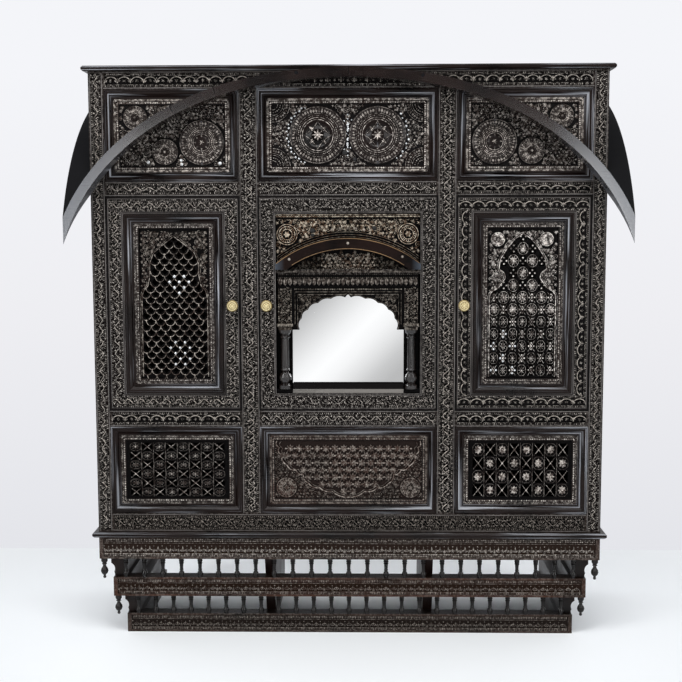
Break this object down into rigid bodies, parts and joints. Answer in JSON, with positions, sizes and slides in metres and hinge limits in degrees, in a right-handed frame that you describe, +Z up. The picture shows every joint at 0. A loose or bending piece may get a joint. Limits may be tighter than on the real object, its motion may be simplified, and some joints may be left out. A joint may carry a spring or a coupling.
{
  "type": "carved teak oriel window",
  "caption": "Free-standing carved teak oriel window, ebonised and lacquered, with pierced leaves, a mirror in a cusped arch, a bent eave and a stepped base on turned balusters.",
  "frame": {"origin": "centre of the bounding box at floor level", "axes": "+X to the right as seen from the front, +Y back to the wall, +Z up"},
  "size_m": [1.96, 0.7, 2.047],
  "materials": {
    "carved_teak": "ebonised, carved, waxed",
    "smooth_teak": "ebonised, planed, waxed",
    "eave_teak": "ebonised, polished",
    "brass": "stamped, polished",
    "mirror": "silvered glass"
  },
  "bodies": {
    "root": {"corner_posts": "carved_teak", "mullions": "carved_teak", "bottom_rail": "carved_teak", "lower_rails": "carved_teak", "upper_rails": "carved_teak", "top_rail": "carved_teak", "upper_left_panel": "carved_teak", "upper_middle_panel": "carved_teak", "upper_right_panel": "carved_teak", "lower_left_frame": "carved_teak", "lower_left_lattice": "carved_teak", "lower_middle_panel": "carved_teak", "lower_right_frame": "carved_teak", "lower_right_lattice": "carved_teak", "left_leaf": "carved_teak", "left_lattice": "carved_teak", "right_leaf": "carved_teak", "right_lattice": "carved_teak", "middle_leaf": "carved_teak", "pilasters": "carved_teak", "arch_board": "carved_teak", "hood": "carved_teak", "hood_panel": "carved_teak", "wall_posts": "smooth_teak", "left_side_rails": "smooth_teak", "right_side_rails": "smooth_teak", "left_side_panels": "smooth_teak", "right_side_panels": "smooth_teak", "back_board": "smooth_teak", "floor_board": "smooth_teak", "roof_board": "smooth_teak", "top_cornice": "smooth_teak", "bottom_cornice": "smooth_teak", "front_apron": "smooth_teak", "side_aprons": "smooth_teak", "upper_balusters": "smooth_teak", "front_tier": "smooth_teak", "side_tiers": "smooth_teak", "lower_balusters": "smooth_teak", "front_plinth": "smooth_teak", "side_plinths": "smooth_teak", "brackets": "smooth_teak", "upper_coves": "smooth_teak", "lower_coves": "smooth_teak", "upper_pendants": "smooth_teak", "lower_pendants": "smooth_teak", "colonnettes": "smooth_teak", "front_eave": "eave_teak", "left_eave": "eave_teak", "right_eave": "eave_teak", "knobs": "brass", "mirror_glass": "mirror"}
  },
  "joints": []
}
